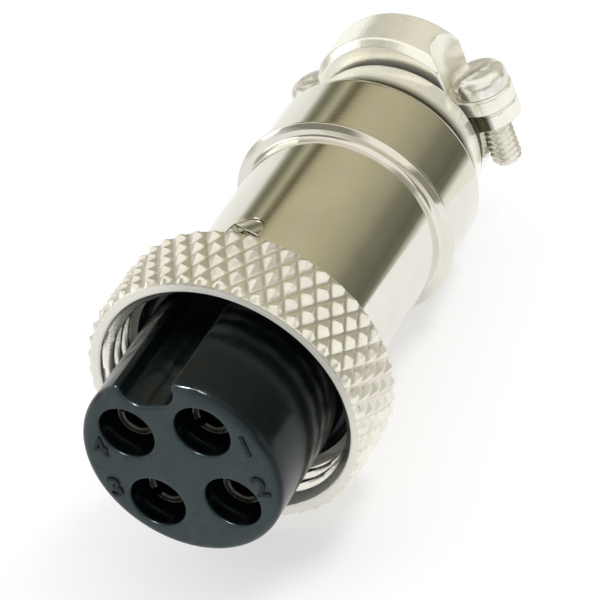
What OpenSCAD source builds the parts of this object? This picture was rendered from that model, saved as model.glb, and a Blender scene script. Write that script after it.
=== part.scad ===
// Four-way aviation plug: the cable end of a round screw-locked connector.
// Four split sockets sit in a moulded insulator with a keyway. A knurled
// coupling ring turns on the front of the barrel, and a strap with two screws
// clamps the cable at the rear.
// Millimetres. The origin is the centre of the mating face. +Y runs back along
// the connector towards the cable, +Z points to the keyway, and +X is to the
// right as the mating face is seen.

/* [Insulator] */
// Room between the insulator and the nominal diameter of the coupling thread
shell_t = 1.65; // [1.4:0.05:1.8]
// Rounding of the edge of the mating face
insert_round = 0.6; // [0.2:0.1:0.9]
// Width of the keyway
key_w = 3.5; // [2.4:0.1:4]
// Depth of the keyway
key_depth = 1.9; // [1.2:0.1:2.1]
// Thickness of the flange that carries the coupling ring
flange_t = 1; // [0.8:0.1:1.4]
// Step in radius between the insulator and the bore that takes its spigot
spigot_step = 0.95; // [0.8:0.05:1.2]
// Distance from the set screw's axis to the end of the spigot
spigot_tail = 1.7; // [1.5:0.1:4]

/* [Contacts] */
// Plastic between a socket opening and the outside of the insulator
socket_wall = 0.94; // [0.8:0.02:1.1]
// Diameter of the socket openings in the mating face
socket_d = 3.54; // [3.2:0.02:3.7]
// Outside diameter of a contact
contact_d = 2.6; // [2.3:0.05:2.7]
// Diameter of the mating pin
pin_d = 1.55; // [1.2:0.05:1.7]
// Depth of the contact's rim behind the mating face
contact_recess = 1.5; // [0.8:0.1:2.5]
// Length of the saw cut in a contact
slit_l = 5; // [3:0.5:6]
// Width of the saw cut
slit_w = 0.5; // [0.3:0.05:0.7]
// Length of the solder cup
cup_l = 4.6; // [3.5:0.1:6]

/* [Coupling ring] */
// Thickness of the ring over the nominal thread
ring_t = 1; // [0.8:0.1:1.5]
// Length of the ring
ring_l = 5.1; // [4.8:0.1:6.5]
// Distance from the mating face to the front of the ring
ring_front = 6.1; // [5:0.1:7]
// Nominal diameter of the coupling thread
thread_d = 16; // [15.9:0.05:16.2]
// Pitch of the coupling thread
thread_pitch = 1; // [0.75:0.25:1]
// Length of the lip that rides on the barrel
lip_l = 0.9; // [0.7:0.1:1.2]
// Diamonds round the knurl
knurl_count = 46; // [36:2:60]
// Angle between the knurl's grooves and the ring's axis
knurl_angle = 30; // [25:1:45]
// Height of the diamonds
knurl_h = 0.32; // [0.2:0.02:0.36]

/* [Barrel] */
// Wall of the barrel in front of its collar
front_t = 0.75; // [0.65:0.05:0.85]
// Wall of the barrel behind its collar
rear_t = 1; // [0.8:0.05:1.2]
// Height of the collar above the barrel behind it
collar_h = 0.85; // [0.5:0.05:0.9]
// Width of the collar
collar_w = 1; // [0.8:0.1:1.6]
// Distance from the mating face to the back of the collar
collar_back = 24.4; // [22:0.1:26]
// Distance from the mating face to the rear end of the barrel
barrel_back = 30.4; // [29:0.1:33]
// Distance from the coupling ring to the set screw's axis
set_screw_back = 3.1; // [2.6:0.1:3.6]
// Diameter of the set screw
set_screw_d = 2.5; // [2:0.1:2.6]
// Depth of the set screw's blind hole in the spigot
set_screw_seat = 1; // [0.8:0.1:1.5]
// Width of the set screw's slot
set_slot_w = 0.4; // [0.3:0.05:0.5]

/* [Cable clamp] */
// Step in radius from the barrel down to the clamp's neck
neck_step = 0.8; // [0.6:0.05:1]
// Length of the clamp's plug in the barrel
plug_l = 3.5; // [3:0.1:4.5]
// Length of the neck's rounded shoulder
shoulder_l = 2.6; // [2:0.1:3]
// Diameter of the cable channel
cable_d = 6.8; // [5.5:0.1:7]
// Length of the jaws along the cable
jaw_l = 3.8; // [3.6:0.1:4.6]
// Length of the neck behind the jaws
tail_l = 1.3; // [0.8:0.1:1.8]
// Distance from the side of the neck out to a clamp screw's axis
screw_out = 0.3; // [0.2:0.05:0.7]
// Diameter of the clamp screws
screw_d = 2; // [1.8:0.1:2.2]
// Diameter of a clamp screw's head
head_d = 3.6; // [3.4:0.1:3.8]
// Height of a clamp screw's head
head_h = 1.3; // [1:0.1:1.6]
// Length of a clamp screw under its head
screw_l = 5.6; // [5:0.1:7]
// Width of the slot in a clamp screw
slot_w = 0.56; // [0.4:0.02:0.7]
// Height of the joint between the jaws above the connector's axis
split_z = 1; // [0.7:0.1:1.2]
// Thickness of the lower jaw's ears
ear_t = 1.15; // [0.9:0.05:1.6]
// Thickness of the strap's ears
strap_t = 1.1; // [0.9:0.05:1.4]
// Height of the strap's top above the neck
strap_rise = 1.6; // [1:0.1:2]
// Bevel on the front and rear edges of the strap
strap_bevel = 0.45; // [0.2:0.05:0.6]

/* [Hidden] */
$fn = 96;

// Clearances: a seat that stays put, the ring's bearing, and faces that pass or meet.
seat_gap = 0.02;
run_gap = 0.08;
face_gap = 0.1;
// Clearances: the flange through the thread, the seam behind the barrel, the jaws
// behind the shoulder, and a screwdriver's room round a screw head.
flange_gap = 0.4;
seam_gap = 0.3;
jaw_gap = 0.3;
head_gap = 0.45;
// Small chamfer on turned and moulded edges.
edge = 0.2;

// Radii. The insulator, its spigot and the barrel step inwards from the thread.
thread_r = thread_d / 2;
ring_r = thread_r + ring_t;
minor_r = thread_r - 0.5413 * thread_pitch;
mouth_r = thread_r + 0.1;
relief_r = thread_r - 0.1;
flange_r = minor_r - flange_gap;
insert_r = thread_r - shell_t;
bore_r = insert_r - spigot_step;
spigot_r = bore_r - seat_gap;
front_r = bore_r + front_t;
rear_r = bore_r + rear_t;
collar_r = rear_r + collar_h;
neck_r = rear_r - neck_step;
cable_r = cable_d / 2;

// Stations along the connector.
ring_back = ring_front + ring_l;
lip_front = ring_back - lip_l;
flange_back = lip_front - face_gap;
flange_front = flange_back - flange_t;
thread_back = flange_front - edge;
set_screw_y = ring_back + set_screw_back;
spigot_back = set_screw_y + spigot_tail;
collar_front = collar_back - collar_w;
neck_back = barrel_back + shoulder_l;
jaw_front = neck_back + jaw_gap;
jaw_back = jaw_front + jaw_l;
tail_back = jaw_back + tail_l;

// Keyway: the radius of its bottom corners, and its rear end.
key_r = 0.35 * key_w;
key_back = flange_front - 0.6 * flange_t;

// Contacts: their distance from the axis, the rear end of the wide part of their
// cavities, the ring that stops them against the insulator, and the angle of each
// saw cut.
contact_r = insert_r - socket_wall - socket_d / 2;
cavity_back = contact_recess + slit_l + slit_w;
stop_d = contact_d + 3 * edge;
stop_l = 3 * edge;
cup_d = contact_d - edge;
cup_bore_d = contact_d - 4 * edge;
slit_angles = [-21, 45, -21, 45];

// Clamp: the screws' axes, the pocket round a screw head, and the arch of the
// strap, which ends a little inside the screws.
screw_x = neck_r + screw_out;
screw_y = jaw_front + jaw_l / 2;
pocket_r = head_d / 2 + head_gap;
arch_r = neck_r;
arch_w = neck_r - 2 * strap_bevel;
strap_top = neck_r + strap_rise;

// Points of an arc from angle a0 to a1 about [x, y].
function arc(x, y, r, a0, a1, n = 8) =
    [for (i = [0:n]) let (a = a0 + (a1 - a0) * i / n) [x + r * cos(a), y + r * sin(a)]];

// The [x, z] place of contact n: 1 and 2 on the right, 1 and 4 at the top.
function contact_at(n) = [n <= 2 ? 1 : -1, n == 1 || n == 4 ? 1 : -1] * contact_r / sqrt(2);

// A solid turned about the connector's axis from [radius, y] points.
module turned(points) rotate([-90, 0, 0]) rotate_extrude() polygon(points);

// A round bar along the connector from y0 to y1.
module bar(d, y0, y1) translate([0, y0, 0]) rotate([-90, 0, 0]) cylinder(d = d, h = y1 - y0);

// A flat [x, z] outline carried along the connector from y0 to y1.
module along(y0, y1) translate([0, y1, 0]) rotate([90, 0, 0]) linear_extrude(y1 - y0) children();

// Copies at the left and right clamp screws.
module at_screws() for (side = [-1, 1]) translate([side * screw_x, screw_y, 0]) children();

// Moves a solid made on the +Y axis to contact n.
module at_contact(n) translate([contact_at(n)[0], 0, contact_at(n)[1]]) children();

// ---- Insulator and contacts ----

// U-shaped outline of the keyway, open at the top.
module key_outline() {
    floor_z = insert_r - key_depth;
    top_z = insert_r + edge;
    polygon(concat(
        [[-key_w / 2, top_z]],
        arc(-key_w / 2 + key_r, floor_z + key_r, key_r, 180, 270),
        arc(key_w / 2 - key_r, floor_z + key_r, key_r, 270, 360),
        [[key_w / 2, top_z]]));
}

module insulator() color([0.06, 0.06, 0.065]) difference() {
    turned(concat(
        [[0, 0]],
        arc(insert_r - insert_round, insert_round, insert_round, -90, 0),
        [[insert_r, flange_front], [flange_r, flange_front], [flange_r, flange_back],
         [spigot_r, flange_back], [spigot_r, spigot_back - edge],
         [spigot_r - edge, spigot_back], [0, spigot_back]]));
    along(-edge, key_back) key_outline();
    for (n = [1:4]) at_contact(n) {
        bar(socket_d, -edge, cavity_back);
        bar(contact_d + 2 * seat_gap, 0, spigot_back + edge);
    }
    // Blind hole for the tip of the set screw.
    translate([0, set_screw_y, spigot_r - set_screw_seat])
        cylinder(d = set_screw_d + face_gap, h = 2 * set_screw_seat);
}

// A split socket with a solder cup that opens away from the connector's axis.
module contact(n) color([0.83, 0.72, 0.45]) at_contact(n) difference() {
    r = contact_d / 2;
    stop_back = spigot_back + stop_l;
    cup_back = stop_back + cup_l;
    pin_r = pin_d / 2;
    turned([
        [0, contact_recess], [r - edge, contact_recess], [r, contact_recess + edge],
        [r, spigot_back], [stop_d / 2, spigot_back], [stop_d / 2, stop_back],
        [cup_d / 2, stop_back], [cup_d / 2, cup_back], [0, cup_back]]);
    turned([
        [0, contact_recess - edge], [pin_r + edge, contact_recess - edge],
        [pin_r + edge, contact_recess], [pin_r, contact_recess + edge],
        [pin_r, cavity_back + pin_r], [0, cavity_back + 2 * pin_r]]);
    bar(cup_bore_d, cup_back - 0.75 * cup_l, cup_back + edge);
    rotate([0, slit_angles[n - 1], 0])
        translate([-contact_d, 0, -slit_w / 2])
            cube([2 * contact_d, contact_recess + slit_l, slit_w]);
    rotate([0, -atan2(contact_at(n)[1], contact_at(n)[0]), 0])
        translate([0, cup_back - 0.6 * cup_l, -contact_d])
            cube([2 * contact_d, cup_l, 2 * contact_d]);
}

// ---- Coupling ring ----

// The knurled outside: pyramids between two sets of crossing grooves. The points
// form a grid of half diamonds. Where row and column add up to an odd number the
// point is a tip, apart from the first and last rows, which lie in the grooves.
module knurled_bar() {
    columns = 2 * knurl_count;
    step = PI * ring_r / knurl_count / tan(knurl_angle);
    tip_rows = floor((ring_l - knurl_h) / step) + 1;
    rows = tip_rows + 1;
    end_l = (ring_l - (tip_rows - 1) * step) / 2;
    function is_tip(i, j) = (i + j) % 2 == 1;
    function row_y(i) = i == 0 ? 0 : i == rows ? ring_l : end_l + (i - 1) * step;
    function at(i, j) = i * columns + j % columns;
    points = [for (i = [0:rows], j = [0:columns - 1])
        let (a = 360 * j / columns,
             raised = i > 0 && i < rows && is_tip(i, j),
             r = ring_r - (raised ? 0 : knurl_h))
        [r * cos(a), ring_front + row_y(i), r * sin(a)]];
    // Each cell is split along the groove that crosses it.
    sides = [for (i = [0:rows - 1], j = [0:columns - 1], half = [0, 1])
        is_tip(i, j)
            ? (half == 0 ? [at(i, j), at(i, j + 1), at(i + 1, j)]
                         : [at(i, j + 1), at(i + 1, j + 1), at(i + 1, j)])
            : (half == 0 ? [at(i, j), at(i, j + 1), at(i + 1, j + 1)]
                         : [at(i, j), at(i + 1, j + 1), at(i + 1, j)])];
    front = [for (j = [columns - 1:-1:0]) at(0, j)];
    back = [for (j = [0:columns - 1]) at(rows, j)];
    polyhedron(points, concat(sides, [front, back]));
}

module coupling_ring() color([0.78, 0.77, 0.74]) difference() {
    knurled_bar();
    // Bevelled mouth, thread at its minor diameter, relief for the flange, and lip.
    turned([
        [0, ring_front - edge], [mouth_r, ring_front - edge], [mouth_r, ring_front],
        [minor_r, ring_front + mouth_r - minor_r], [minor_r, thread_back],
        [relief_r, thread_back + relief_r - minor_r], [relief_r, lip_front],
        [front_r + run_gap, lip_front], [front_r + run_gap, ring_back + edge],
        [0, ring_back + edge]]);
}

// ---- Barrel and set screw ----

module barrel() color([0.72, 0.71, 0.67]) difference() {
    turned([
        [bore_r, flange_back], [front_r, flange_back], [front_r, collar_front],
        [collar_r - 2 * edge, collar_front], [collar_r, collar_front + 2 * edge],
        [collar_r, collar_back - edge], [collar_r - edge, collar_back],
        [rear_r, collar_back], [rear_r, barrel_back - edge],
        [rear_r - edge, barrel_back], [bore_r, barrel_back]]);
    translate([0, set_screw_y, 0]) cylinder(d = set_screw_d + 2 * seat_gap, h = collar_r);
}

// Slotted grub screw: through the barrel's wall, with its tip in the insulator.
module set_screw() color([0.55, 0.55, 0.56]) translate([0, set_screw_y, 0]) difference() {
    r = set_screw_d / 2;
    tip_z = spigot_r - set_screw_seat + face_gap;
    top_z = front_r - edge;
    rotate_extrude() polygon([
        [0, tip_z], [r - edge, tip_z], [r, tip_z + edge],
        [r, top_z - edge / 2], [r - edge / 2, top_z], [0, top_z]]);
    rotate([0, 0, 30]) translate([-set_screw_d, -set_slot_w / 2, top_z - 1.2 * set_slot_w])
        cube([2 * set_screw_d, set_slot_w, 2 * set_slot_w]);
}

// ---- Cable clamp ----

// An ear at each screw with the bridge between them, from z0 to z1.
module ears(z0, z1) {
    at_screws() translate([0, 0, z0]) cylinder(d = jaw_l, h = z1 - z0);
    translate([-screw_x, jaw_front, z0]) cube([2 * screw_x, jaw_l, z1 - z0]);
}

// Neck with a rounded shoulder behind the barrel's seam, which becomes the open
// lower jaw.
module clamp_base() color([0.70, 0.69, 0.66]) difference() {
    shoulder_r = rear_r - seam_gap;
    seam_back = barrel_back + seam_gap;
    plug_front = barrel_back - plug_l;
    funnel_r = (cable_r + 2 * spigot_r) / 3;
    shoulder = [for (a = [0:10:90])
        [neck_r + (shoulder_r - neck_r) * cos(a), seam_back + (neck_back - seam_back) * sin(a)]];
    union() {
        difference() {
            turned(concat(
                [[0, plug_front], [spigot_r, plug_front], [spigot_r, barrel_back],
                 [shoulder_r - edge, barrel_back], [shoulder_r - edge, seam_back]],
                shoulder,
                [[neck_r, tail_back - edge], [neck_r - edge, tail_back], [0, tail_back]]));
            translate([-rear_r, neck_back, split_z]) cube([2 * rear_r, tail_back, rear_r]);
        }
        ears(split_z - ear_t, split_z);
    }
    // Funnel from the barrel, cable channel and its rounded-off rear mouth.
    turned([
        [0, plug_front - edge], [funnel_r, plug_front - edge],
        [funnel_r, barrel_back - (funnel_r - cable_r)],
        [cable_r, barrel_back], [cable_r, tail_back - 2 * edge],
        [cable_r + 3 * edge, tail_back + edge], [0, tail_back + edge]]);
    at_screws() translate([0, 0, -neck_r]) cylinder(d = screw_d + 2 * seat_gap, h = 2 * neck_r);
}

// Half outline of the strap's arch, in by the given inset.
module arch_outline(inset) {
    r = arch_r - inset;
    w = arch_w - inset;
    centre_z = strap_top - arch_r;
    a = acos(w / r);
    polygon(concat([[w, split_z]], arc(0, centre_z, r, a, 180 - a, 24), [[-w, split_z]]));
}

module clamp_strap() color([0.74, 0.73, 0.69]) difference() {
    strap_z = split_z + strap_t;
    union() {
        ears(split_z, strap_z);
        // Arch with bevelled front and rear edges.
        hull() {
            along(jaw_front, jaw_back) arch_outline(strap_bevel);
            along(jaw_front + strap_bevel, jaw_back - strap_bevel) arch_outline(0);
        }
    }
    bar(cable_d, jaw_front - edge, jaw_back + edge);
    // Pockets round the screw heads, and clearance holes.
    at_screws() {
        translate([0, 0, strap_z]) cylinder(r = pocket_r, h = strap_top);
        cylinder(d = screw_d + 3 * face_gap, h = strap_top);
    }
}

// Slotted round-head screw on the left (-1) or right (1), with its slot at an angle.
module clamp_screw(side, slot_angle) color([0.80, 0.80, 0.79])
translate([side * screw_x, screw_y, split_z + strap_t]) difference() {
    r = screw_d / 2;
    crown = 0.45 * head_h;
    rotate_extrude() polygon(concat(
        [[0, -screw_l], [r - edge, -screw_l], [r, edge - screw_l], [r, 0], [head_d / 2, 0]],
        arc(head_d / 2 - crown, head_h - crown, crown, 0, 90),
        [[0, head_h]]));
    rotate([0, 0, slot_angle]) translate([-head_d, -slot_w / 2, 0.5 * head_h])
        cube([2 * head_d, slot_w, head_h]);
}

module clamp_screw_left() clamp_screw(-1, 20);
module clamp_screw_right() clamp_screw(1, 55);

insulator();
contact(1);  // contact_1
contact(2);  // contact_2
contact(3);  // contact_3
contact(4);  // contact_4
coupling_ring();
barrel();
set_screw();
clamp_base();
clamp_strap();
clamp_screw_left();
clamp_screw_right();
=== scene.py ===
"""Looks of a four-way aviation plug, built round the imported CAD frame.

Lengths are in millimetres up to the moment a mesh is made, and angles round the
connector run from +Z, where the keyway is, towards +X.
"""
import math

import bmesh
import bpy
import numpy as np
from mathutils import Matrix, Vector


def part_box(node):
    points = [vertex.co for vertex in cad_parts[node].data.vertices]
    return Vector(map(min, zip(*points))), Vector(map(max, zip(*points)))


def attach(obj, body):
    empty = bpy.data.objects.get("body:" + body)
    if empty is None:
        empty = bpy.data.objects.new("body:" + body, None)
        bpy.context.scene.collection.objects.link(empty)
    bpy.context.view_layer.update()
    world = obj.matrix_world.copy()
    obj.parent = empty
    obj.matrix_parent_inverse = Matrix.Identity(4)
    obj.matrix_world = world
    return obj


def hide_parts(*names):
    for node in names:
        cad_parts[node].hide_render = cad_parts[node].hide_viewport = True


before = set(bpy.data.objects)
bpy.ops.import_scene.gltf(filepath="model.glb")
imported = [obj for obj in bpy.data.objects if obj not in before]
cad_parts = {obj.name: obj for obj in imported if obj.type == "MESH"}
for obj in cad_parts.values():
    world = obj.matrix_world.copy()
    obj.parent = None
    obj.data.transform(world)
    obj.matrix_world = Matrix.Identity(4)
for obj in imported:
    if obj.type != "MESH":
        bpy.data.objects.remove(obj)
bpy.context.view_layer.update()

MM = 0.001
TAU = 2 * math.pi
X, Y, Z = 0, 1, 2


def span(node, axis):
    """Lowest and highest coordinate of a CAD node along an axis, in millimetres."""
    low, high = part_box(node)
    return low[axis] / MM, high[axis] / MM


# ---- Sizes read from the frame ----

RING_FRONT, RING_BACK = span("coupling_ring", Y)
RING_R = span("coupling_ring", X)[1]
FLANGE_R = span("insulator", X)[1]
SPIGOT_BACK = span("insulator", Y)[1]
BARREL_FRONT, SOLID_BARREL_BACK = span("barrel", Y)
JAW_FRONT = span("clamp_strap", Y)[0]
SCREW_X = sum(span("clamp_screw_right", X)) / 2
SCREW_Y = sum(span("clamp_screw_right", Y)) / 2
SCREW_LOW, SCREW_TOP = span("clamp_screw_right", Z)
HEAD_R = span("clamp_screw_right", X)[1] - SCREW_X
SET_SCREW_Y = sum(span("set_screw", Y)) / 2
CONTACT_FRONT, CONTACT_BACK = span("contact_1", Y)


# ---- Sizes inside the pieces ----

# Insulator, with its keyway, its openings, its flange and its spigot.
INSERT_R = 6.35
RIM_ROUND = 0.6
KEY_HALF = 1.75
KEY_FLOOR = 4.45
KEY_CORNER = 1.225
SOCKET_AT = 2.575
SOCKET_R = 1.77
SOCKET_BACK = 7.0
CONTACT_SEAT_R = 1.32
FLANGE_FRONT = BARREL_FRONT - 1.0
KEY_BACK = FLANGE_FRONT - 0.6
SPIGOT_R = 5.38
# Points on the round part of half the insulator's outline.
ROUND_POINTS = 110

# Coupling ring.
THREAD_R = 8.0
MINOR_R = 7.459
PITCH = 1.0
LIP_FRONT = BARREL_FRONT + 0.1
KNURL_COUNT = 46
KNURL_ANGLE = math.radians(30)
KNURL_H = 0.32
# The ring's height attribute runs from 0 to 1 on the knurl, and has these values on
# the plain faces and on the thread.
PLAIN = 1.4
THREAD = 2.0

# The barrel is drawn fuller and shorter than its solid: these are later measures.
BORE_R = 5.4
FRONT_R = 6.5
REAR_R = 6.95
COLLAR_R = 7.3
COLLAR_FRONT, COLLAR_BACK = 23.9, 24.5
BARREL_BACK = 29.7

# Clamp: where its rounded neck ends, and where the strap's ears carry the screws.
NECK_BACK = JAW_FRONT - 0.3
SCREW_SEAT = 2.1


# ---- Mesh helpers ----

def finish_mesh(obj, sharp_deg):
    """Outward normals, smooth shading, and edges sharper than an angle kept sharp."""
    bm = bmesh.new()
    bm.from_mesh(obj.data)
    bmesh.ops.recalc_face_normals(bm, faces=bm.faces)
    bm.to_mesh(obj.data)
    bm.free()
    obj.data.shade_smooth()
    obj.data.set_sharp_from_angle(angle=math.radians(sharp_deg))
    return obj


def link_object(name, mesh):
    obj = bpy.data.objects.new(name, mesh)
    bpy.context.scene.collection.objects.link(obj)
    return obj


def new_object(name, verts_mm, faces):
    mesh = bpy.data.meshes.new(name)
    mesh.from_pydata([tuple(c * MM for c in v) for v in verts_mm], [], faces)
    mesh.update()
    return link_object(name, mesh)


def object_from_bmesh(name, bm):
    mesh = bpy.data.meshes.new(name)
    bm.to_mesh(mesh)
    bm.free()
    return link_object(name, mesh)


def grid_faces(rows, columns, close_rows=False, start=0):
    """Quads of a grid of points that closes round its columns, and maybe its rows."""
    faces = []
    for i in range(rows if close_rows else rows - 1):
        a, b = start + i * columns, start + (i + 1) % rows * columns
        for j in range(columns):
            k = (j + 1) % columns
            faces.append((a + j, a + k, b + k, b + j))
    return faces


def rounded(corners, steps):
    """A closed outline of (u, v, radius) corners with each corner rounded off."""
    points = []
    for i, (u, v, radius) in enumerate(corners):
        here = np.array([u, v])
        before = np.array(corners[i - 1][:2]) - here
        after = np.array(corners[(i + 1) % len(corners)][:2]) - here
        if radius <= 0:
            points.append(here)
            continue
        before = before / np.linalg.norm(before)
        after = after / np.linalg.norm(after)
        half = math.acos(max(-1, min(1, before @ after))) / 2
        reach = radius / math.tan(half)
        middle = (before + after) / np.linalg.norm(before + after)
        centre = here + middle * radius / math.sin(half)
        first, last = here + before * reach - centre, here + after * reach - centre
        swing = math.acos(max(-1, min(1, (first @ last) / radius ** 2)))
        for s in range(steps + 1):
            a = swing * s / steps
            points.append(centre + (first * math.sin(swing - a) + last * math.sin(a))
                          / math.sin(swing))
    return points


def turned(name, outline, segments, sharp_deg=40):
    """A ring turned about the connector's axis from a closed (radius, y) outline."""
    verts = [(r * math.sin(TAU * j / segments), y, r * math.cos(TAU * j / segments))
             for r, y in outline for j in range(segments)]
    faces = grid_faces(len(outline), segments, close_rows=True)
    return finish_mesh(new_object(name, verts, faces), sharp_deg)


def apply_modifiers(obj):
    """Bakes an object's modifiers into its mesh."""
    graph = bpy.context.evaluated_depsgraph_get()
    graph.update()
    mesh = bpy.data.meshes.new_from_object(obj.evaluated_get(graph))
    obj.modifiers.clear()
    old, obj.data = obj.data, mesh
    bpy.data.meshes.remove(old)
    return obj


def cut(obj, *cutters):
    """Cuts solids out of a mesh and removes them."""
    for cutter in cutters:
        step = obj.modifiers.new("cut", "BOOLEAN")
        step.operation, step.solver, step.object = "DIFFERENCE", "EXACT", cutter
        apply_modifiers(obj)
        bpy.data.objects.remove(cutter)
    return obj


def break_edges(obj, width, segments):
    """Rounds an object's sharp edges."""
    bevel = obj.modifiers.new("edges", "BEVEL")
    bevel.width, bevel.segments = width * MM, segments
    bevel.limit_method, bevel.angle_limit = "ANGLE", math.radians(50)
    return finish_mesh(apply_modifiers(obj), 35)


def cylinder(name, radius, y, low, high, segments=64):
    """An upright cylinder in the connector's middle plane."""
    bm = bmesh.new()
    bmesh.ops.create_cone(bm, cap_ends=True, segments=segments, radius1=radius * MM,
                          radius2=radius * MM, depth=(high - low) * MM)
    middle = (0, y * MM, (low + high) / 2 * MM)
    bmesh.ops.translate(bm, vec=middle, verts=bm.verts)
    return object_from_bmesh(name, bm)


def block(size, centre, turn_deg=0):
    """A box turned about its upright axis, for cutting."""
    bm = bmesh.new()
    bmesh.ops.create_cube(bm, size=1)
    place = (Matrix.Translation(Vector(centre) * MM)
             @ Matrix.Rotation(math.radians(turn_deg), 4, "Z")
             @ Matrix.Diagonal((*(s * MM for s in size), 1)))
    bmesh.ops.transform(bm, matrix=place, verts=bm.verts)
    return object_from_bmesh("cutter", bm)


def cast_copy(node, name, voxel, rounds):
    """A copy of a CAD node with the soft edges of a casting: remeshed, then smoothed."""
    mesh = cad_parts[node].data.copy()
    mesh.materials.clear()
    mesh.transform(Matrix.Scale(1 / MM, 4))
    obj = link_object(name, mesh)
    bm = bmesh.new()
    bm.from_mesh(obj.data)
    bmesh.ops.remove_doubles(bm, verts=bm.verts, dist=1e-4)
    bm.to_mesh(obj.data)
    bm.free()
    step = obj.modifiers.new("voxels", "REMESH")
    step.mode, step.voxel_size, step.adaptivity = "VOXEL", voxel, 0
    step = obj.modifiers.new("soften", "SMOOTH")
    step.factor, step.iterations = 0.5, rounds
    apply_modifiers(obj)
    obj.data.transform(Matrix.Scale(MM, 4))
    obj.data.shade_smooth()
    return obj


# ---- Node helpers ----

class Nodes:
    """Short ways to add nodes to a tree. Values are sockets, numbers or RGB tuples."""

    def __init__(self, tree):
        self.tree = tree

    def node(self, kind, **settings):
        made = self.tree.nodes.new(kind)
        for key, value in settings.items():
            setattr(made, key, value)
        return made

    def feed(self, socket, value):
        """Links an output to an input, or sets the input's own value."""
        if isinstance(value, bpy.types.NodeSocket):
            self.tree.links.new(value, socket)
        elif isinstance(value, tuple):
            socket.default_value = (*value, 1)
        else:
            socket.default_value = value

    def split(self, vector):
        """The X, Y and Z outputs of a vector."""
        made = self.node("ShaderNodeSeparateXYZ")
        self.feed(made.inputs[0], vector)
        return made.outputs

    def remap(self, source, low, high, to_low=0.0, to_high=1.0, kind="LINEAR"):
        """Takes a value from one range to another and holds it at the ends."""
        made = self.node("ShaderNodeMapRange", interpolation_type=kind)
        for key, value in (("Value", source), ("From Min", low), ("From Max", high),
                           ("To Min", to_low), ("To Max", to_high)):
            self.feed(made.inputs[key], value)
        return made.outputs["Result"]

    def ramp(self, source, stops):
        """Colours along a value, from (place, colour) stops."""
        made = self.node("ShaderNodeValToRGB")
        elements = made.color_ramp.elements
        while len(elements) < len(stops):
            elements.new(0.5)
        for element, (place, colour) in zip(elements, stops):
            element.position = place
            element.color = (*colour, 1)
        self.feed(made.inputs["Fac"], source)
        return made.outputs["Color"]

    def mix(self, factor, a, b, kind="RGBA"):
        made = self.node("ShaderNodeMix", data_type=kind)
        for key, value in (("Factor", factor), ("A", a), ("B", b)):
            self.feed(made.inputs[key], value)
        return made.outputs["Result"]


class Shader(Nodes):
    """A material whose Principled surface is fed by procedural nodes."""

    def __init__(self, name):
        self.material = bpy.data.materials.new(name)
        self.material.use_nodes = True
        super().__init__(self.material.node_tree)
        self.surface = self.tree.nodes["Principled BSDF"]
        self.place = self.node("ShaderNodeTexCoord").outputs["Object"]

    def set(self, **values):
        """Feeds inputs of the surface. An underscore stands for a space."""
        for key, value in values.items():
            self.feed(self.surface.inputs[key.replace("_", " ")], value)

    def attribute(self, name):
        return self.node("ShaderNodeAttribute", attribute_name=name).outputs["Fac"]

    def noise(self, scale, detail):
        """Noise over the object, with its scale in waves per millimetre."""
        mapping = self.node("ShaderNodeMapping")
        mapping.inputs["Scale"].default_value = (1 / MM, 1 / MM, 1 / MM)
        self.feed(mapping.inputs["Vector"], self.place)
        made = self.node("ShaderNodeTexNoise")
        self.feed(made.inputs["Scale"], scale)
        self.feed(made.inputs["Detail"], detail)
        self.feed(made.inputs["Vector"], mapping.outputs[0])
        return made.outputs["Fac"]

    def along(self, scale):
        """Noise that changes only along the connector, as turning marks do."""
        made = self.node("ShaderNodeTexNoise", noise_dimensions="1D")
        self.feed(made.inputs["Scale"], scale / MM)
        self.feed(made.inputs["Detail"], 4.0)
        self.feed(made.inputs["W"], self.split(self.place)["Y"])
        return made.outputs["Fac"]

    def spread(self, noise, low, high):
        """Noise, which stays mostly between 0.3 and 0.7, taken to a range."""
        return self.remap(noise, 0.3, 0.7, low, high)

    def bump(self, height, depth, base=None):
        """Bump whose depth is in millimetres."""
        made = self.node("ShaderNodeBump")
        self.feed(made.inputs["Strength"], 1)
        self.feed(made.inputs["Distance"], depth * MM)
        self.feed(made.inputs["Height"], height)
        if base is not None:
            self.feed(made.inputs["Normal"], base)
        return made.outputs["Normal"]


# ---- Materials ----

# Painted shade for the shadow gaps in the clamp base's seams; behind the barrel there is no
# groove in the mesh.
PAINTED_SEAM_SHADE = (0.06, 0.055, 0.03)


def nickel(name, tint, shade, rough, marks=0.0, pits=0.0, metal=1.0, seams=()):
    """Bright nickel plate: cloudy tint, patchy gloss, turning marks and fine pits.

    Seams round the connector, each given as (first y, last y, fade), carry painted shade
    where shadow gaps fall.
    """
    s = Shader(name)
    colour = s.ramp(s.noise(0.35, 4), [(0.35, shade), (0.7, tint)])
    for first, last, fade in seams:
        # Each seam darkens the colour to painted shade between its first and last y.
        y = s.split(s.place)["Y"]
        into = s.remap(y, (first - fade) * MM, first * MM)
        out_of = s.remap(y, last * MM, (last + fade) * MM)
        colour = s.mix(out_of, s.mix(into, colour, PAINTED_SEAM_SHADE), colour)
    s.set(Base_Color=colour, Metallic=metal, Roughness=s.spread(s.noise(1.6, 5), *rough))
    normal = None
    if marks:
        normal = s.bump(s.along(9.0), marks)
    if pits:
        normal = s.bump(s.noise(7.0, 5), pits, normal)
    if normal is not None:
        s.set(Normal=normal)
    return s.material


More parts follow.
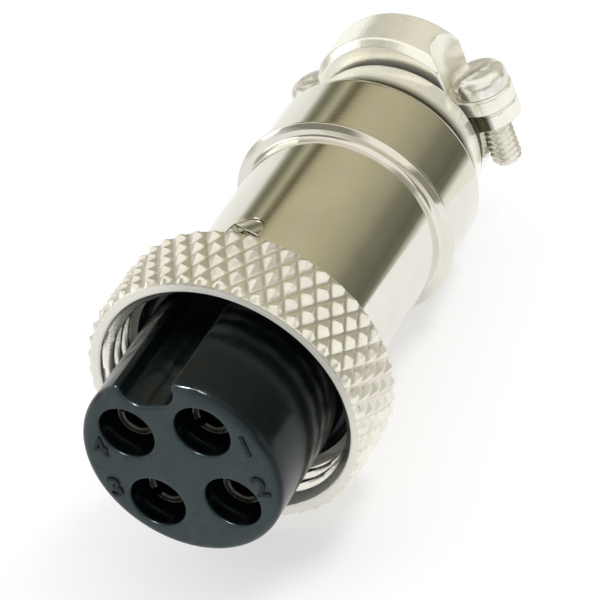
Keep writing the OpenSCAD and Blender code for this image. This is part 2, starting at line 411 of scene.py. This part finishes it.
def ring_nickel():
    """Nickel that is darker in the knurl's grooves, dull on the plain faces inside and
    in front, and polished on the thread. The lighter base colour of the plain faces
    and the thread is painted light, for the light that shines into the ring from the front."""
    s = Shader("ring_nickel_plate")
    height = s.attribute("height")
    tips = s.ramp(s.noise(0.5, 4), [(0.3, (0.85, 0.82, 0.73)), (0.7, (0.96, 0.93, 0.84))])
    knurl = s.mix(s.remap(height, 0.0, 0.25), (0.70, 0.66, 0.56), tips)
    plain = s.remap(height, 1.0, PLAIN)
    thread = s.remap(height, PLAIN, THREAD)
    # The lighter base colours of the plain faces and the thread are painted light.
    s.set(Base_Color=s.mix(thread, s.mix(plain, knurl, (0.95, 0.93, 0.85)),
                           (1.0, 0.975, 0.87)),
          Metallic=s.mix(thread, s.mix(plain, 1.0, 0.35, "FLOAT"), 0.9, "FLOAT"),
          Roughness=s.mix(thread, s.spread(s.noise(2.5, 5), 0.30, 0.42), 0.1, "FLOAT"),
          Normal=s.bump(s.noise(9.0, 4), 0.006))
    return s.material


def moulding(name, dull_face):
    """Glossy black moulded plastic. The mating face of the insulator is duller."""
    s = Shader(name)
    face = s.remap(s.split(s.place)["Y"], 0.30 * MM, 0.02 * MM, 0.0, float(dull_face),
                   "SMOOTHSTEP")
    body = s.ramp(s.noise(0.6, 5), [(0.35, (0.0018, 0.0032, 0.0037)),
                                    (0.75, (0.0036, 0.0055, 0.0062))])
    dull = s.ramp(s.noise(1.4, 5), [(0.3, (0.022, 0.034, 0.038)),
                                    (0.7, (0.032, 0.046, 0.051))])
    rough = s.node("ShaderNodeMath", operation="MULTIPLY_ADD")
    for socket, value in zip(rough.inputs, (face, 0.20,
                                            s.spread(s.noise(1.2, 5), 0.12, 0.20))):
        s.feed(socket, value)
    s.set(IOR=1.42, Specular_IOR_Level=0.36, Specular_Tint=(0.80, 0.97, 1.0),
          Base_Color=s.mix(face, body, dull), Roughness=rough.outputs[0],
          Normal=s.bump(s.noise(14.0, 4), 0.003, s.bump(s.noise(0.9, 3), 0.015)))
    return s.material


def contact_plate():
    """Dark contact plate, painted shade for sockets deep in their openings, with a painted
    highlight on the outer corner of the mouth.
    """
    s = Shader("contact_plate")
    # The dark tone all over is painted shade; the rim's light tone is a painted highlight.
    dark = s.ramp(s.noise(0.9, 5), [(0.3, (0.045, 0.045, 0.04)),
                                    (0.7, (0.10, 0.095, 0.08))])
    s.set(Metallic=1.0, Base_Color=s.mix(s.attribute("rim"), dark, (0.62, 0.66, 0.64)),
          Roughness=s.spread(s.noise(3.0, 4), 0.22, 0.40),
          Normal=s.bump(s.along(12.0), 0.004))
    return s.material


def screw_steel():
    """Plated screw steel with rubbed patches."""
    s = Shader("clamp_screw_steel")
    s.set(Metallic=0.75,
          Base_Color=s.ramp(s.noise(1.4, 5), [(0.3, (0.77, 0.75, 0.69)),
                                              (0.7, (0.96, 0.94, 0.87))]),
          Roughness=s.spread(s.noise(3.0, 5), 0.14, 0.34),
          Normal=s.bump(s.noise(6.0, 5), 0.006))
    return s.material


def clamp_nickel(name, seams=()):
    return nickel(name, (0.98, 0.96, 0.88), (0.93, 0.91, 0.81), (0.16, 0.28),
                  pits=0.006, metal=0.7, seams=seams)


BARREL_NICKEL = nickel("barrel_nickel_plate", (0.83, 0.81, 0.74), (0.77, 0.75, 0.68),
                       (0.05, 0.09), marks=0.0009, pits=0.0008)
STRAP_NICKEL = clamp_nickel("clamp_nickel_plate")
# The base carries painted shade behind the barrel and in the narrow gap in front of the
# jaws.
BASE_NICKEL = clamp_nickel("clamp_base_plate",
                           seams=((BARREL_BACK, BARREL_BACK + 0.95, 0.65),
                                  (NECK_BACK, JAW_FRONT + 0.1, 0.15)))
RING_NICKEL = ring_nickel()
MOULDING = moulding("insulator_moulding", dull_face=True)
NUMERAL_MOULDING = moulding("numeral_moulding", dull_face=False)
CONTACT_PLATE = contact_plate()
SCREW_STEEL = screw_steel()


def dress(obj, material, body, slot, *nodes):
    """Gives a finished piece its material and its body, and hides its CAD nodes. The slot
    is not used.
    """
    obj.data.materials.clear()
    obj.data.materials.append(material)
    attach(obj, body)
    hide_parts(*nodes)
    return obj


# ---- Insulator ----

def key_half_outline():
    """Right half of the keyed outline, from the keyway's middle to the bottom.

    Each point is (x, z, outward x, outward z, radius of the mating face's edge).
    """
    corner = 0.3
    key_edge = 0.2
    flat = KEY_HALF - KEY_CORNER
    wall_low = KEY_FLOOR + KEY_CORNER
    corner_x = KEY_HALF + corner
    corner_z = math.sqrt((INSERT_R - corner) ** 2 - corner_x ** 2)
    end = math.atan2(corner_z, corner_x)
    points = []
    for i in range(4):
        points.append((flat * i / 4, KEY_FLOOR, 0, 1, key_edge))
    for i in range(13):
        a = math.radians(-90 + 90 * i / 12)
        points.append((flat + KEY_CORNER * math.cos(a),
                       KEY_FLOOR + KEY_CORNER + KEY_CORNER * math.sin(a),
                       -math.cos(a), -math.sin(a), key_edge))
    for i in range(1, 3):
        points.append((KEY_HALF, wall_low + (corner_z - wall_low) * i / 3, -1, 0,
                       key_edge))
    for i in range(9):
        a = math.pi + (end - math.pi) * i / 8
        points.append((corner_x + corner * math.cos(a), corner_z + corner * math.sin(a),
                       math.cos(a), math.sin(a), key_edge))
    # The edge grows rounder over the first degrees beside the keyway.
    for i in range(1, ROUND_POINTS + 1):
        a = end + (-math.pi / 2 - end) * i / ROUND_POINTS
        grow = min(1, (end - a) / math.radians(14))
        grow = grow * grow * (3 - 2 * grow)
        points.append((INSERT_R * math.cos(a), INSERT_R * math.sin(a), math.cos(a),
                       math.sin(a), key_edge + (RIM_ROUND - key_edge) * grow))
    return points


def key_outline():
    half = key_half_outline()
    mirrored = [(-x, z, -nx, nz, edge) for x, z, nx, nz, edge in half[-2:0:-1]]
    return np.array(half + mirrored)


def evened_angles(x, z):
    """The outline's angles with the keyway's points spread evenly over its width."""
    angle = np.unwrap(np.arctan2(x, z))
    count = len(angle)
    key_end = len(key_half_outline()) - ROUND_POINTS
    even = angle.copy()
    even[:key_end] = np.linspace(0, angle[key_end], key_end, endpoint=False)
    even[count - key_end + 1:] = TAU - even[1:key_end][::-1]
    even[key_end:count - key_end + 1] = np.mod(angle[key_end:count - key_end + 1], TAU)
    return even


def build_insulator():
    x, z, nx, nz, edge = key_outline().T
    count = len(x)
    flange_edge, spigot_edge, socket_edge = 0.08, 0.2, 0.14
    verts, rings = [], []

    def row(px, py, pz):
        rings.append(len(verts))
        verts.extend(zip(px, np.broadcast_to(py, count), pz))

    for t in np.radians(np.linspace(90, 0, 7)):
        inset = edge * (1 - math.cos(t))
        row(x - nx * inset, edge * (1 - math.sin(t)), z - nz * inset)
    for y in np.linspace(2 * RIM_ROUND, KEY_BACK, 8):
        row(x, y, z)
    # Behind the keyway the outline becomes round.
    even = evened_angles(x, z)
    for r, y in ((INSERT_R, KEY_BACK), (INSERT_R, FLANGE_FRONT),
                 (FLANGE_R - flange_edge, FLANGE_FRONT),
                 (FLANGE_R, FLANGE_FRONT + flange_edge), (FLANGE_R, BARREL_FRONT),
                 (SPIGOT_R, BARREL_FRONT), (SPIGOT_R, SPIGOT_BACK - spigot_edge),
                 (SPIGOT_R - spigot_edge, SPIGOT_BACK)):
        row(r * np.sin(even), y, r * np.cos(even))
    faces = grid_faces(len(rings), count)

    # The four openings, each a stepped tube from the face to the back of the spigot.
    around = 72
    tube = [(SOCKET_R + socket_edge * (1 - math.cos(a)), socket_edge * (1 - math.sin(a)))
            for a in np.radians(np.arange(90, -1, -18))]
    tube += [(SOCKET_R, SOCKET_BACK / 2), (SOCKET_R, SOCKET_BACK),
             (CONTACT_SEAT_R, SOCKET_BACK), (CONTACT_SEAT_R, SPIGOT_BACK)]
    front_loops = [list(range(count))]
    back_loops = [list(range(rings[-1], rings[-1] + count))]
    for side_x in (-1, 1):
        for side_z in (-1, 1):
            start = len(verts)
            for r, y in tube:
                for j in range(around):
                    a = TAU * j / around
                    verts.append((side_x * SOCKET_AT + r * math.sin(a), y,
                                  side_z * SOCKET_AT + r * math.cos(a)))
            faces += grid_faces(len(tube), around, start=start)
            front_loops.append(list(range(start, start + around)))
            last = start + (len(tube) - 1) * around
            back_loops.append(list(range(last, last + around)))

    obj = new_object("insulator_body", verts, faces)
    bm = bmesh.new()
    bm.from_mesh(obj.data)
    bm.verts.ensure_lookup_table()
    for loops in (front_loops, back_loops):
        edges = [bm.edges.get((bm.verts[loop[i - 1]], bm.verts[loop[i]]))
                 for loop in loops for i in range(len(loop))]
        bmesh.ops.triangle_fill(bm, use_beauty=True, use_dissolve=False, edges=edges)
    bm.to_mesh(obj.data)
    bm.free()
    finish_mesh(obj, 50)
    weighted = obj.modifiers.new("weighted", "WEIGHTED_NORMAL")
    weighted.keep_sharp = True
    weighted.weight = 90
    return apply_modifiers(obj)


def build_numeral(text, x, z):
    """A raised number on the mating face, as the mould leaves it."""
    curve = bpy.data.curves.new("numeral", "FONT")
    curve.body = text
    curve.align_x, curve.align_y = "CENTER", "CENTER"
    curve.size = 1.95
    curve.extrude = 0.07
    curve.bevel_depth = 0.05
    curve.bevel_resolution = 2
    maker = link_object("numeral_" + text, curve)
    graph = bpy.context.evaluated_depsgraph_get()
    graph.update()
    mesh = bpy.data.meshes.new_from_object(maker.evaluated_get(graph))
    bpy.data.objects.remove(maker)
    mesh.transform(Matrix.Translation(Vector((x, 0.0, z)) * MM)
                   @ Matrix.Rotation(math.pi / 2, 4, "X") @ Matrix.Scale(MM, 4))
    return link_object("numeral_" + text, mesh)


insulator = dress(build_insulator(), MOULDING, "housing", "insulator_plastic", "insulator")
for text, x, z in (("1", 5.1, 1.5), ("2", 4.95, -1.45), ("3", -4.95, -1.45),
                   ("4", -4.8, 1.55)):
    dress(build_numeral(text, x, z), NUMERAL_MOULDING, "housing", "insulator_plastic")


# ---- Coupling ring ----

def thread_radius(phi, y):
    """Inner surface of the coupling thread: truncated 60-degree grooves, right-handed."""
    phase = np.mod(y / PITCH - phi / TAU, 1.0)
    off = np.abs(phase - 0.5) * PITCH
    return np.clip(THREAD_R - (off - PITCH / 16) * math.sqrt(3), MINOR_R, THREAD_R)


def build_ring():
    """The ring's knurl, then its back face, lip, relief, thread, mouth and front face.

    The knurl has a pyramid on each diamond of the crossing grooves. Rows and columns
    of points are sixths of half a diamond.
    """
    fine = 6
    columns = 2 * KNURL_COUNT * fine
    phi = np.arange(columns) / columns * TAU
    length = RING_BACK - RING_FRONT
    step = math.pi * RING_R / KNURL_COUNT / math.tan(KNURL_ANGLE)
    tip_rows = int((length - KNURL_H) / step) + 1
    end = (length - (tip_rows - 1) * step) / 2
    groove_r = RING_R - KNURL_H
    groove_floor, flank, blunt = 0.18, 0.76, 0.97
    chamfer_drop, chamfer_slope = 0.08, 1.2
    face_r = groove_r - 0.12
    lip_r, lip_chamfer = FRONT_R + 0.08, 0.2
    relief_r = THREAD_R - 0.1
    mouth_r, mouth_edge = THREAD_R + 0.1, 0.04
    thread_back = FLANGE_FRONT - 0.2
    runout = 0.45
    rows, heights = [], []

    def row(r, y, height=PLAIN):
        r, y = np.broadcast_to(r, columns), np.broadcast_to(y, columns)
        rows.append(np.stack([r * np.sin(phi), y, r * np.cos(phi)], 1))
        heights.append(np.broadcast_to(height, columns))

    first = -int(end / step * fine)
    last = (tip_rows - 1) * fine - first
    beyond = 0.99
    levels = [first - beyond] + list(range(first, last + 1)) + [last + beyond]
    for k in levels:
        i, j = k / fine, np.arange(columns) / fine + 1
        da = (i + j) - 2 * np.round((i + j) / 2)
        db = (i - j) - 2 * np.round((i - j) / 2)
        height = 1 - np.maximum(np.abs(da), np.abs(db))
        y = min(max(RING_FRONT + end + i * step, RING_FRONT), RING_BACK)
        inward = min(y - RING_FRONT, RING_BACK - y)
        r = groove_r + KNURL_H * np.clip((height - groove_floor) / flank, 0, blunt)
        row(np.minimum(r, groove_r - chamfer_drop + inward * chamfer_slope), y, height)
    # Quads that a groove crosses are cut along it, one way or the other.
    splits = {}
    for n, k in enumerate(levels):
        if first <= k < last:
            for m in range(columns):
                if (k + m + 1) % (2 * fine) == 0:
                    splits[n, m] = True
                elif (k - m) % (2 * fine) == 0:
                    splits[n, m] = False
    row(face_r, RING_BACK)
    row(lip_r + lip_chamfer, RING_BACK)
    row(lip_r, RING_BACK - lip_chamfer)
    row(lip_r, LIP_FRONT)
    row(relief_r, LIP_FRONT)
    for y in np.arange(thread_back + runout, RING_FRONT - 1e-6, -PITCH / 16):
        rising = MINOR_R + max(0.0, y - thread_back)
        mouth = mouth_r - (y - RING_FRONT)
        r = np.maximum(np.maximum(thread_radius(phi, y), rising), mouth)
        row(np.minimum(r, mouth_r), y, THREAD)
    row(mouth_r, RING_FRONT + mouth_edge / 2)
    row(mouth_r + mouth_edge, RING_FRONT)
    row(face_r, RING_FRONT)
    faces = []
    for n in range(len(rows)):
        a, b = n * columns, (n + 1) % len(rows) * columns
        for m in range(columns):
            k = (m + 1) % columns
            quad = (a + m, a + k, b + k, b + m)
            split = splits.get((n, m))
            if split is None:
                faces.append(quad)
            elif split:
                faces += [(quad[0], quad[1], quad[3]), (quad[1], quad[2], quad[3])]
            else:
                faces += [(quad[0], quad[1], quad[2]), (quad[0], quad[2], quad[3])]
    obj = new_object("coupling_ring_body", np.concatenate(rows), faces)
    values = obj.data.attributes.new("height", "FLOAT", "POINT")
    values.data.foreach_set("value", np.concatenate(heights).astype(np.float32))
    return finish_mesh(obj, 24)


dress(build_ring(), RING_NICKEL, "ring", "ring_nickel", "coupling_ring")


# ---- Barrel ----

def build_barrel():
    """A turned sleeve whose collar rises in a fillet in front and drops sharply behind.

    Corners of radius 0 near the rounded ones keep the flat stretches flat when shaded.
    """
    outline = rounded([
        (BORE_R, BARREL_FRONT, 0.05), (FRONT_R, BARREL_FRONT, 0.1),
        (FRONT_R, BARREL_FRONT + 0.3, 0), (FRONT_R, 17.0, 0),
        (FRONT_R, COLLAR_FRONT - 0.35, 0), (FRONT_R, COLLAR_FRONT, 0.3),
        (COLLAR_R - 0.35, COLLAR_FRONT + 0.12, 0.12),
        (COLLAR_R, COLLAR_FRONT + 0.34, 0.06), (COLLAR_R, COLLAR_FRONT + 0.40, 0),
        (COLLAR_R, COLLAR_BACK - 0.12, 0), (COLLAR_R, COLLAR_BACK - 0.03, 0.06),
        (REAR_R, COLLAR_BACK, 0.04), (REAR_R, COLLAR_BACK + 0.2, 0),
        (REAR_R, BARREL_BACK - 0.45, 0), (REAR_R, BARREL_BACK, 0.32),
        (BORE_R, BARREL_BACK, 0.1), (BORE_R, 24.0, 0), (BORE_R, 17.0, 0)], 6)
    obj = turned("barrel_body", outline, 256)
    hole_r = 1.27
    cut(obj, cylinder("cutter", hole_r, SET_SCREW_Y, BORE_R - 1.4, FRONT_R + 1.5))
    return finish_mesh(obj, 40)


dress(build_barrel(), BARREL_NICKEL, "housing", "barrel_nickel", "barrel")


# ---- Cable clamp ----

def build_base():
    """The clamp's base, with its shoulder drawn forward to meet the barrel."""
    obj = cast_copy("clamp_base", "clamp_base_body", 0.105, 3)
    for v in obj.data.vertices:
        fade = (NECK_BACK - v.co.y / MM) / (NECK_BACK - SOLID_BARREL_BACK)
        v.co.y -= (SOLID_BARREL_BACK - BARREL_BACK) * min(1, max(0, fade)) * MM
    return obj


def build_clamp_screw(name, x, slot_deg):
    """Slotted round-head screw with a rolled thread, turned about its own axis."""
    shank_r, under_head_r, end_r, core_r = 1.0, 0.85, 0.3, 0.72
    pitch, depth = 0.4, 0.2
    thread_end = SCREW_SEAT - 0.3
    crown = SCREW_TOP - SCREW_SEAT
    crown_round, under_round = 0.62, 0.1
    slot_w, cutter_h = 0.56, 1.5
    columns = 64
    phi = np.arange(columns) / columns * TAU
    rows = []

    def row(r, z):
        r, z = np.broadcast_to(r, columns), np.broadcast_to(z, columns)
        rows.append(np.stack([x + r * np.cos(phi), SCREW_Y + r * np.sin(phi), z], 1))

    row(end_r, SCREW_LOW)
    for z in np.arange(SCREW_LOW, thread_end, pitch / 8):
        # The wave is clipped, so that crests and roots are a little flat.
        wave = np.abs(np.mod(z / pitch - phi / TAU, 1.0) - 0.5) * 2
        r = shank_r - depth * np.clip(1.25 * wave - 0.1, 0, 1)
        row(np.minimum(r, core_r + (z - SCREW_LOW)), z)
    row(under_head_r, SCREW_SEAT - 0.2)
    row(under_head_r, SCREW_SEAT)
    for t in np.radians(np.linspace(-90, 0, 4)):
        row(HEAD_R - under_round + under_round * math.cos(t),
            SCREW_SEAT + under_round + under_round * math.sin(t))
    for t in np.radians(np.linspace(0, 90, 10)):
        row(HEAD_R - crown_round + crown_round * math.cos(t),
            SCREW_TOP - crown_round + crown_round * math.sin(t))
    row(end_r, SCREW_TOP)
    verts = list(np.concatenate(rows))
    faces = grid_faces(len(rows), columns)
    faces.append(tuple(range(columns)))
    faces.append(tuple(range(len(verts) - columns, len(verts))))
    obj = finish_mesh(new_object(name, verts, faces), 35)
    slot_z = SCREW_SEAT + 0.5 * crown + cutter_h / 2
    cut(obj, block((5, slot_w, cutter_h), (x, SCREW_Y, slot_z), slot_deg))
    return break_edges(obj, 0.05, 2)


dress(build_base(), BASE_NICKEL, "housing", "clamp_nickel", "clamp_base")
dress(cast_copy("clamp_strap", "clamp_strap_body", 0.07, 5), STRAP_NICKEL, "strap",
      "clamp_nickel", "clamp_strap")
for side, sign, slot_deg in (("left", -1, 20), ("right", 1, 55)):
    dress(build_clamp_screw("screw_" + side + "_body", sign * SCREW_X, slot_deg),
          SCREW_STEEL, "screw_" + side, "screw_steel", "clamp_screw_" + side)


# ---- Contacts ----

def build_contact(number, side_x, side_z, slit_deg):
    """Split socket with a rolled mouth, a stop behind the insulator and a solder cup."""
    outer, bore, bore_back, core = 1.3, 0.775, 7.8, 0.02
    rim = 0.12
    stop_r, stop_back = 1.6, SPIGOT_BACK + 0.6
    cup_r, cup_bore, cup_floor = 1.2, 0.9, CONTACT_BACK - 3.45
    cup_open, cup_cut = 2.76, 3.6
    slit_w, slit_front, slit_l = 0.5, 0.5, 6.0
    outline = rounded([
        (bore, CONTACT_FRONT, 0.16), (outer - rim - 0.02, CONTACT_FRONT, 0),
        (outer - rim, CONTACT_FRONT, 0), (outer, CONTACT_FRONT, 0.08),
        (outer, CONTACT_FRONT + rim, 0), (outer, 5.0, 0), (outer, 10.0, 0),
        (outer, SPIGOT_BACK, 0), (stop_r, SPIGOT_BACK, 0.05), (stop_r, stop_back, 0.05),
        (cup_r, stop_back, 0.05), (cup_r, CONTACT_BACK, 0.1),
        (cup_bore, CONTACT_BACK, 0.05), (cup_bore, cup_floor, 0),
        (core, cup_floor - 0.5, 0), (core, bore_back + 0.7, 0), (bore, bore_back, 0)], 4)
    obj = turned("contact_%d_body" % number, outline, 48)
    slit = block((4, slit_l, slit_w), (0, slit_front + slit_l / 2, 0))
    slit.data.transform(Matrix.Rotation(math.radians(slit_deg), 4, "Y"))
    cup = block((3, cup_cut, 4), (1.5, CONTACT_BACK - cup_open + cup_cut / 2, 0))
    cup.data.transform(Matrix.Rotation(-math.atan2(side_z, side_x), 4, "Y"))
    cut(obj, slit, cup)
    # The attribute marks the outer corner of the mouth, which carries a painted highlight.
    slack = 0.01
    values = obj.data.attributes.new("rim", "FLOAT", "POINT")
    values.data.foreach_set("value", [
        float(math.hypot(v.co.x, v.co.z) > (outer - rim - slack) * MM
              and v.co.y < (CONTACT_FRONT + rim - slack) * MM)
        for v in obj.data.vertices])
    obj.data.transform(Matrix.Translation(Vector((side_x, 0, side_z)) * SOCKET_AT * MM))
    return finish_mesh(obj, 40)


for number, side_x, side_z, slit_deg in ((1, 1, 1, -21), (2, 1, -1, 45), (3, -1, -1, -21),
                                         (4, -1, 1, 45)):
    dress(build_contact(number, side_x, side_z, slit_deg), CONTACT_PLATE, "housing",
          "contact_metal", "contact_%d" % number)


# ---- Set screw ----

def build_set_screw():
    """Slotted grub screw, just below the barrel's surface."""
    radius, bottom, top = 1.23, 4.2, FRONT_R - 0.14
    slot_w, slot_depth, slot_deg = 0.4, 0.6, -30
    obj = cylinder("set_screw_body", radius, SET_SCREW_Y, bottom, top, 96)
    cut(obj, block((5, slot_w, 2 * slot_depth), (0, SET_SCREW_Y, top), slot_deg))
    return break_edges(obj, 0.06, 3)


dress(build_set_screw(), BARREL_NICKEL, "housing", "screw_steel", "set_screw")


# ---- Floor, which touches the ring and the barrel's rear ----

FLOOR_R = 26.0
FLOOR_MID = 13.0
FLOOR_SLOPE = (RING_R - REAR_R) / (BARREL_BACK - RING_BACK)
FLOOR_Z = -RING_R + (FLOOR_MID - RING_BACK) * FLOOR_SLOPE - 0.02


def pale_floor():
    """White in the middle for the shadows, and glowing into the white room outwards."""
    s = Shader("pale_floor")
    s.tree.nodes.remove(s.surface)
    diffuse = s.node("ShaderNodeBsdfDiffuse")
    s.feed(diffuse.inputs["Color"], (0.92, 0.92, 0.92))
    glow = s.node("ShaderNodeEmission")
    s.feed(glow.inputs["Strength"], 1.0)
    length = s.node("ShaderNodeVectorMath", operation="LENGTH")
    s.feed(length.inputs[0], s.place)
    fade = s.remap(length.outputs["Value"], 0.45 * FLOOR_R * MM, 0.98 * FLOOR_R * MM,
                   0.5, 1.0, "SMOOTHSTEP")
    mixer = s.node("ShaderNodeMixShader")
    for socket, value in zip(mixer.inputs, (fade, diffuse.outputs[0], glow.outputs[0])):
        s.feed(socket, value)
    s.feed(s.tree.nodes["Material Output"].inputs["Surface"], mixer.outputs[0])
    return s.material


bm = bmesh.new()
bmesh.ops.create_circle(bm, cap_ends=True, segments=128, radius=FLOOR_R * MM)
floor = object_from_bmesh("floor", bm)
floor.location = (0, FLOOR_MID * MM, FLOOR_Z * MM)
floor.rotation_euler = (math.atan(FLOOR_SLOPE), 0, 0)
floor.data.materials.append(pale_floor())


# ---- World: a white room for the camera, and a studio for the metal ----

# Tones of the studio's walls, from (height of the direction, colour) stops.
LEFT_TONES = ((-1.0, (1.0, 1.0, 0.99)), (0.10, (0.95, 0.95, 0.92)),
              (0.29, (0.88, 0.88, 0.82)), (0.385, (0.29, 0.29, 0.215)),
              (0.45, (0.16, 0.16, 0.105)), (0.50, (0.28, 0.275, 0.185)),
              (0.56, (0.49, 0.465, 0.335)), (0.60, (0.23, 0.21, 0.125)),
              (0.635, (0.12, 0.105, 0.06)), (0.665, (0.42, 0.385, 0.26)),
              (0.69, (0.55, 0.50, 0.335)), (1.0, (0.62, 0.58, 0.46)))
RIGHT_TONES = ((-1.0, (1.0, 1.0, 0.99)), (-0.42, (0.92, 0.91, 0.85)),
               (-0.37, (0.52, 0.51, 0.43)), (-0.31, (0.17, 0.17, 0.135)),
               (-0.2, (0.135, 0.135, 0.10)), (-0.05, (0.175, 0.175, 0.13)),
               (0.10, (0.215, 0.21, 0.145)), (0.28, (0.36, 0.34, 0.235)),
               (0.6, (0.52, 0.485, 0.33)), (1.0, (0.62, 0.58, 0.46)))
ABOVE_TONES = ((-1.0, (0.95, 0.95, 0.94)), (-0.05, (0.92, 0.92, 0.90)),
               (0.06, (0.47, 0.46, 0.41)), (0.42, (0.47, 0.46, 0.41)),
               (0.6, (1.0, 0.99, 0.95)), (1.0, (0.95, 0.93, 0.88)))
FRONT_LEFT_TONES = ((-1.0, (1.0, 1.0, 1.0)), (0.25, (0.90, 0.90, 0.89)),
                    (0.45, (0.26, 0.25, 0.21)), (0.85, (0.30, 0.29, 0.24)),
                    (1.0, (0.9, 0.88, 0.8)))
FRONT_RIGHT_TONES = ((-1.0, (1.0, 1.0, 1.0)), (-0.42, (1.0, 1.0, 0.98)),
                     (-0.33, (0.30, 0.29, 0.24)), (0.0, (0.30, 0.29, 0.24)),
                     (0.1, (0.98, 0.97, 0.9)), (1.0, (1.0, 0.98, 0.92)))
FAR_TONES = ((-1.0, (0.95, 0.95, 0.94)), (-0.05, (0.80, 0.79, 0.76)),
             (0.05, (0.36, 0.34, 0.27)), (1.0, (0.46, 0.43, 0.32)))
# The plain room that matt surfaces and the camera see.
ROOM_FOR_MATT = (0.86, 0.86, 0.85)
ROOM_FOR_CAMERA = (1.0, 1.0, 1.0)


def build_world():
    world = bpy.data.worlds.new("studio")
    world.use_nodes = True
    world.node_tree.nodes.clear()
    n = Nodes(world.node_tree)
    direction = n.split(n.node("ShaderNodeTexCoord").outputs["Generated"])
    height = n.remap(direction["Z"], -1, 1)

    def wall(stops):
        return n.ramp(height, [((place + 1) / 2, colour) for place, colour in stops])

    def past(axis, low, high):
        return n.remap(direction[axis], low, high, kind="SMOOTHSTEP")

    to_right = past("X", -0.1, 0.15)
    behind = n.mix(to_right, wall(LEFT_TONES), wall(RIGHT_TONES))
    front = n.mix(to_right, wall(FRONT_LEFT_TONES), wall(FRONT_RIGHT_TONES))
    studio = n.mix(past("Y", -0.45, -0.2), front, wall(ABOVE_TONES))
    studio = n.mix(past("Y", 0.50, 0.60), studio, behind)
    studio = n.mix(past("Y", 0.78, 0.86), studio, wall(FAR_TONES))
    rays = n.node("ShaderNodeLightPath")
    seen = n.mix(rays.outputs["Is Glossy Ray"], ROOM_FOR_MATT, studio)
    seen = n.mix(rays.outputs["Is Camera Ray"], seen, ROOM_FOR_CAMERA)
    background = n.node("ShaderNodeBackground")
    n.feed(background.inputs["Color"], seen)
    output = n.node("ShaderNodeOutputWorld")
    n.feed(output.inputs["Surface"], background.outputs[0])
    return world


bpy.context.scene.world = build_world()


# ---- Lamps ----

def softbox(name, place, size, power):
    """A round lamp that faces the middle of the connector."""
    light = bpy.data.lights.new(name, "AREA")
    light.shape, light.size, light.energy = "DISK", size * MM, power
    obj = link_object(name, light)
    obj.location = Vector(place) * MM
    look = (Vector((0, 15, 0)) - Vector(place)).normalized()
    obj.rotation_euler = look.to_track_quat("-Z", "Y").to_euler()
    return obj


key = softbox("key", (150, 110, 240), 95, 0.38)
key.visible_glossy = False
softbox("fill", (-200, -40, 120), 160, 0.06)
# The glint lights only the insulator's edges.
glint = softbox("glint", (90, -15, 270), 45, 2.6)
glint.visible_diffuse = False
glint_targets = bpy.data.collections.new("glint_targets")
glint_targets.objects.link(insulator)
glint.light_linking.receiver_collection = glint_targets


# ---- Camera ----

AZIMUTH, ELEVATION, ROLL = math.radians(36.935), math.radians(30.433), math.radians(-22.573)
TARGET = Vector((0.103, 16.683, -0.537))
DISTANCE = 212.342
back = Vector((math.sin(AZIMUTH) * math.cos(ELEVATION),
               -math.cos(AZIMUTH) * math.cos(ELEVATION), math.sin(ELEVATION)))
level = Vector((math.cos(AZIMUTH), math.sin(AZIMUTH), 0))
right = Matrix.Rotation(ROLL, 3, back) @ level
up = back.cross(right)
camera_data = bpy.data.cameras.new("camera")
camera_data.lens, camera_data.sensor_width = 210, 36
camera_data.clip_start, camera_data.clip_end = 0.01, 5
camera = link_object("camera", camera_data)
axes = Matrix((right, up, back)).transposed().to_4x4()
camera.matrix_world = Matrix.Translation((TARGET + back * DISTANCE) * MM) @ axes
bpy.context.scene.camera = camera

bpy.context.scene.view_settings.view_transform = "Standard"
